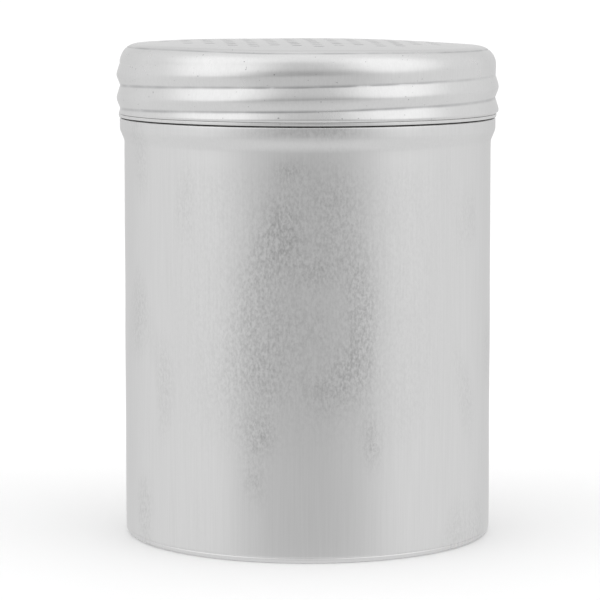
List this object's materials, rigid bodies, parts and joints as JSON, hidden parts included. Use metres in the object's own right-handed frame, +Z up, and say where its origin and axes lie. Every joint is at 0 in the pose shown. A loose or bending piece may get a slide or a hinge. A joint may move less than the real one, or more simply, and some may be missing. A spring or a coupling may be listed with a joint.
{
  "type": "screw-top shaker tin",
  "caption": "Round straight-walled aluminium shaker tin with a rolled-thread neck and a screw lid with a perforated dome.",
  "frame": {"origin": "centre of the face that the tin stands on, under its axis", "axes": "+Z up along the tin's axis, from foot to dome; +X to the right and -Y to the front of a round object"},
  "size_m": [0.07, 0.07, 0.0908],
  "materials": {
    "body_sheet": "satin",
    "lid_sheet": "satin",
    "lid_hem_sheet": "satin"
  },
  "bodies": {
    "body": {"body": "body_sheet"},
    "lid_edge": {"lid_hem": "lid_hem_sheet"},
    "lid": {"lid": "lid_sheet"}
  },
  "joints": [
    {"name": "lid_rise", "type": "slide", "parent": "body", "child": "lid_edge", "axis": [0, 0, 1], "range_m": [0, 0.0106]},
    {"name": "lid_turn", "type": "hinge", "parent": "lid_edge", "child": "lid", "pos_m": [0, 0, 0.0768], "axis": [0, 0, 1], "range_deg": [0, 900]}
  ],
  "couplings": [
    {"joint": "lid_rise", "follows": "lid_turn", "m_per_rad": 0.00067375}
  ]
}
